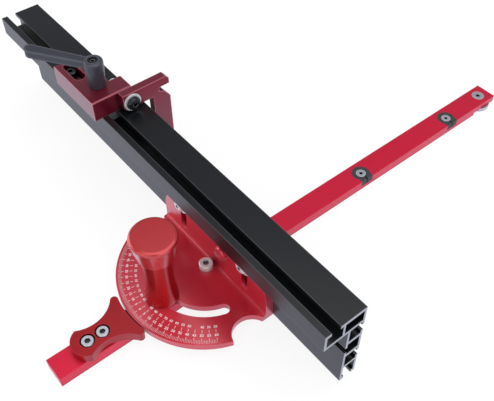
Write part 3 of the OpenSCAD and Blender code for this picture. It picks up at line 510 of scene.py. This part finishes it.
def merged_copy(node, name):
    """A welded copy of a CAD node's mesh, as a new object with the node's finish."""
    mesh = bpy.data.meshes.new(name)
    welded = bmesh.new()
    welded.from_mesh(frame["nodes"][node].data)
    bmesh.ops.remove_doubles(welded, verts=welded.verts, dist=WELD)
    bmesh.ops.dissolve_degenerate(welded, edges=welded.edges, dist=WELD)
    shade_curved_faces(welded)
    welded.to_mesh(mesh)
    welded.free()
    mesh.materials.append(frame["nodes"][node].data.materials[0])
    piece = bpy.data.objects.new(name, mesh)
    bpy.context.scene.collection.objects.link(piece)
    return piece


bodies = frame["record"]["behaviour"]["bodies"]
body_with = {part: body for body, parts in bodies.items() for part in parts}
flat_nodes = ("bar", "fence", "stop_nut", "slot_nut_left", "slot_nut_right")
for node in frame["nodes"]:
    if node in flat_nodes:
        continue
    piece = merged_copy(node, node + "_smooth")
    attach(piece, body_with[node])
    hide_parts(node)
print("smoothed", len(frame["nodes"]) - len(flat_nodes), "round pieces")

# %% [markdown]
# ## The engraved scale: tick marks
# The head carries a scale from 60 degrees left to 60 degrees right, engraved and filled
# with white. A tick repeats at a fixed angle, so Geometry Nodes makes a whole ring: one
# flat block is set at its radius, and an instance is turned by the step for each index.
# The radii, the step and the count are named inputs, so one tree serves for every ring.

# %% Tree: ring of ticks
def ring_tree():
    tree = bpy.data.node_groups.new("ring_of_ticks", "GeometryNodeTree")
    for title, kind in (("Count", "NodeSocketInt"), ("First Angle", FLOAT), ("Step", FLOAT),
                        ("Inner Radius", FLOAT), ("Outer Radius", FLOAT), ("Width", FLOAT),
                        ("Thickness", FLOAT), ("Level", FLOAT), ("Finish", "NodeSocketMaterial")):
        tree.interface.new_socket(title, in_out="INPUT", socket_type=kind)
    tree.interface.new_socket("Ticks", in_out="OUTPUT", socket_type="NodeSocketGeometry")
    given = tree.nodes.new("NodeGroupInput").outputs
    result = tree.nodes.new("NodeGroupOutput").inputs
    long = maths(tree, "SUBTRACT", given["Outer Radius"], given["Inner Radius"])
    radii = maths(tree, "ADD", given["Outer Radius"], given["Inner Radius"])
    middle = maths(tree, "MULTIPLY", radii, 0.5)
    size = put(tree, "ShaderNodeCombineXYZ",
               {0: long, 1: given["Width"], 2: given["Thickness"]}).outputs[0]
    spot = put(tree, "ShaderNodeCombineXYZ", {0: middle, 2: given["Level"]}).outputs[0]
    block = put(tree, "GeometryNodeMeshCube", {"Size": size}).outputs["Mesh"]
    block = put(tree, "GeometryNodeTransform",
                {"Geometry": block, "Translation": spot}).outputs[0]
    points = put(tree, "GeometryNodePoints", {"Count": given["Count"]}).outputs[0]
    index = put(tree, "GeometryNodeInputIndex").outputs[0]
    angle = maths(tree, "ADD", given["First Angle"], maths(tree, "MULTIPLY", index, given["Step"]))
    spin = put(tree, "ShaderNodeCombineXYZ", {2: angle}).outputs[0]
    ring = put(tree, "GeometryNodeInstanceOnPoints",
               {"Points": points, "Instance": block, "Rotation": spin}).outputs[0]
    solid = put(tree, "GeometryNodeRealizeInstances", {"Geometry": ring}).outputs[0]
    done = put(tree, "GeometryNodeSetMaterial",
               {"Geometry": solid, "Material": given["Finish"]}).outputs[0]
    tree.links.new(done, result[0])
    return tree


tick_tree = ring_tree()
print("tree", tick_tree.name, "with", len(tick_tree.nodes), "nodes")

# %% [markdown]
# ## From a tree to a plain mesh
# The ticks are kept as an ordinary mesh, so that nothing has to be worked out again later.
# The tree runs as a modifier on an empty carrier object, its result is copied to a new mesh,
# and the carrier is taken away.

# %% Bake a tree's result into a plain mesh
def bake(name, tree, settings):
    """Runs a Geometry Nodes tree on an empty object and keeps the result as a mesh piece."""
    carrier = bpy.data.objects.new(name + "_carrier", bpy.data.meshes.new(name + "_carrier"))
    bpy.context.scene.collection.objects.link(carrier)
    modifier = carrier.modifiers.new("nodes", "NODES")
    modifier.node_group = tree
    for item in tree.interface.items_tree:
        if item.in_out == "INPUT" and item.name in settings:
            modifier[item.identifier] = settings[item.name]
    bpy.context.view_layer.update()
    seen = carrier.evaluated_get(bpy.context.evaluated_depsgraph_get())
    mesh = bpy.data.meshes.new_from_object(seen)
    bpy.data.objects.remove(carrier)
    mesh.name = name
    piece = bpy.data.objects.new(name, mesh)
    bpy.context.scene.collection.objects.link(piece)
    return piece


sockets = [item for item in tick_tree.interface.items_tree if item.in_out == "INPUT"]
print("a ring is set by", len(sockets), "inputs")

# %% [markdown]
# ## White filling
# The engraved lines and figures are rubbed full of white paint. It is matt, a little uneven
# and faintly pink from the dye around it.

# %% White filling for the engraving
scale_white, tree, shader = open_material("scale_white")
paint = use(tree, grain, {"Colour": rgb(240, 222, 226), "Grain Size": 0.4, "Roughness": 0.5,
                           "Unevenness": 0.25})
tree.links.new(paint.outputs["Colour"], shader.inputs["Base Color"])
tree.links.new(paint.outputs["Roughness"], shader.inputs["Roughness"])
print("material", scale_white.name)

# %% [markdown]
# ## Three rings of ticks
# There is a short tick at every degree and a longer one at every fifth, both ending near the
# plate's rim. A third ring of short lines joins the two rows of numbers.

# %% Rings of ticks
plate_top = 14.6 * MM
line_thick = 0.06 * MM
line_sunk = 0.01 * MM
line_level = plate_top + line_thick / 2 - line_sunk
toward_user = -math.pi / 2
degree = math.pi / 180
SCALE_END = 60
# name: (step in degrees, inner radius, outer radius and width in millimetres)
rings = {
    "degree_ticks": (1, 61.6, 64.2, 0.18),
    "five_degree_ticks": (5, 60.2, 64.2, 0.34),
    "inner_ticks": (5, 53.6, 56.0, 0.30),
}
scale_pieces = []
for name, (step, inner, outer, wide) in rings.items():
    settings = {
        "Count": 2 * SCALE_END // step + 1, "Step": step * degree,
        "First Angle": toward_user - SCALE_END * degree,
        "Inner Radius": inner * MM, "Outer Radius": outer * MM, "Width": wide * MM,
        "Thickness": line_thick, "Level": line_level, "Finish": scale_white,
    }
    piece = bake(name, tick_tree, settings)
    scale_pieces.append(piece)
    print(name, "has", settings["Count"], "ticks and", len(piece.data.polygons), "faces")

# %% [markdown]
# ## The engraved scale: numbers
# Each fifth degree has its number in an outer row, and in an inner row the angle that it
# leaves to a right angle, but for 0 and 45 degrees. Text objects give the figures. Each one
# is turned into a mesh, set tangent to its circle with its top towards the pivot, and joined
# to the others.

# %% Numbers
CAPITAL_SHARE = 0.70
THICKENING = 0.035


def figures(name, radius, height, marks):
    """One mesh of numbers; marks are (angle in degrees, text)."""
    corners, faces = [], []
    for angle, words in marks:
        curve = bpy.data.curves.new("figure", "FONT")
        curve.body, curve.size, curve.extrude = words, height / CAPITAL_SHARE, line_thick / 2
        curve.align_x, curve.align_y, curve.resolution_u = "CENTER", "CENTER", 2
        curve.offset = THICKENING * height
        figure = bpy.data.objects.new("figure", curve)
        bpy.context.scene.collection.objects.link(figure)
        bpy.context.view_layer.update()
        seen = figure.evaluated_get(bpy.context.evaluated_depsgraph_get())
        mesh = bpy.data.meshes.new_from_object(seen)
        spot = Matrix.Translation((0, -radius, line_level))
        turned = Matrix.Rotation(angle * degree, 4, "Z") @ spot
        first = len(corners)
        corners += [turned @ v.co for v in mesh.vertices]
        faces += [[first + k for k in face.vertices] for face in mesh.polygons]
        bpy.data.objects.remove(figure)
    mesh = bpy.data.meshes.new(name)
    mesh.from_pydata(corners, [], faces)
    mesh.materials.append(scale_white)
    piece = bpy.data.objects.new(name, mesh)
    bpy.context.scene.collection.objects.link(piece)
    return piece


every_five = range(-SCALE_END, SCALE_END + 1, 5)
left_out = (0, 45)
outer_row = [(angle, str(abs(angle))) for angle in every_five]
inner_row = [(angle, str(90 - abs(angle))) for angle in every_five if abs(angle) not in left_out]
scale_pieces.append(figures("outer_numbers", 58.0 * MM, 1.95 * MM, outer_row))
scale_pieces.append(figures("inner_numbers", 51.4 * MM, 1.8 * MM, inner_row))
for piece in scale_pieces:
    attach(piece, "head")
print("numbers:", len(outer_row), "outer and", len(inner_row), "inner")

# %% [markdown]
# ## Floor and backdrop
# A product picture has a white ground that still shows a faint contact shadow. The floor is
# a white diffuse sheet mixed with a white glow for rays from the camera or from a
# reflection, so it stays white while a part of the shadow remains. In reflections the glow is
# a little cool, because the metal in the photograph mirrors a faintly blue ground.

# %% Floor
def seen_directly(tree):
    """1 for rays from the camera or a mirror-like reflection, else 0."""
    rays = put(tree, "ShaderNodeLightPath").outputs
    return maths(tree, "MAXIMUM", rays["Is Camera Ray"],
                 maths(tree, "MAXIMUM", rays["Is Glossy Ray"], rays["Is Transmission Ray"]))


HALF_FLOOR = 4.0
GLOW_SHARE = 0.8
GLOW_STRENGTH = 1.07
floor_mesh = bpy.data.meshes.new("floor")
around = ((-1, -1), (1, -1), (1, 1), (-1, 1))
floor_corners = [(HALF_FLOOR * x, HALF_FLOOR * y, 0) for x, y in around]
floor_mesh.from_pydata(floor_corners, [], [(0, 1, 2, 3)])
floor = bpy.data.objects.new("floor", floor_mesh)
bpy.context.scene.collection.objects.link(floor)
pale, tree, shader = open_material("pale_floor")
shader.inputs["Base Color"].default_value = (0.8, 0.8, 0.8, 1)
shader.inputs["Roughness"].default_value = 0.9
mirrored = put(tree, "ShaderNodeLightPath").outputs["Is Glossy Ray"]
cool = mix_colours(tree, mirrored, WHITE, (0.86, 0.88, 1.04, 1))
glow = put(tree, "ShaderNodeEmission", {"Color": cool, "Strength": GLOW_STRENGTH}).outputs[0]
share = maths(tree, "MULTIPLY", seen_directly(tree), GLOW_SHARE)
blend = put(tree, "ShaderNodeMixShader", {0: share, 1: shader.outputs[0], 2: glow}).outputs[0]
tree.links.new(blend, tree.nodes["Material Output"].inputs["Surface"])
floor_mesh.materials.append(pale)
print("floor", 2 * HALF_FLOOR, "m square")

# %% [markdown]
# ## Light
# The surround is bright near the ground and grey above, as in a white studio, so faces that
# look sideways mirror the bright part and are pale, and tops are darker. One broad soft box
# lights the tops. Weaker ones stand on the user's side, on the left, where the light reaches
# under the fence, and on the right. All are large, so that none shows as a white spot.

# %% Lamps and surround
def soft_box(name, place, target, size, watts):
    """A square lamp of the given size, at a place and turned towards a target."""
    lamp = bpy.data.lights.new(name, "AREA")
    lamp.shape, lamp.size, lamp.energy = "SQUARE", size, watts
    lit = bpy.data.objects.new(name, lamp)
    aim = (Vector(target) - Vector(place)).to_track_quat("-Z", "Y")
    lit.matrix_world = Matrix.Translation(place) @ aim.to_matrix().to_4x4()
    bpy.context.scene.collection.objects.link(lit)


soft_box("user_side", (0.3, -1.4, 0.8), (0, 0, 0.03), 1.5, 6)
soft_box("left_side", (-0.95, -0.6, 0.52), (0, -0.01, 0.02), 0.9, 4.5)
soft_box("overhead", (0.3, 0.2, 1.6), (0, 0, 0), 2.2, 21)
soft_box("right_side", (1.4, 0.1, 0.7), (0.05, 0, 0.04), 1.4, 6)

world = bpy.data.worlds.new("surround")
bpy.context.scene.world = world
world.use_nodes = True
tree = world.node_tree
surround = tree.nodes["Background"]
surround.inputs["Strength"].default_value = 1.0
NEAR_GROUND, ABOVE = (0.93, 0.94, 1.0, 1), (0.33, 0.33, 0.36, 1)
direction = put(tree, "ShaderNodeTexCoord").outputs["Generated"]
height = put(tree, "ShaderNodeSeparateXYZ", {0: direction}).outputs[2]
climb = put(tree, "ShaderNodeMapRange",
            {"Value": height, "From Min": 0.02, "From Max": 0.45}).outputs[0]
tree.links.new(mix_colours(tree, climb, NEAR_GROUND, ABOVE), surround.inputs["Color"])
bpy.context.scene.view_settings.view_transform = "Standard"
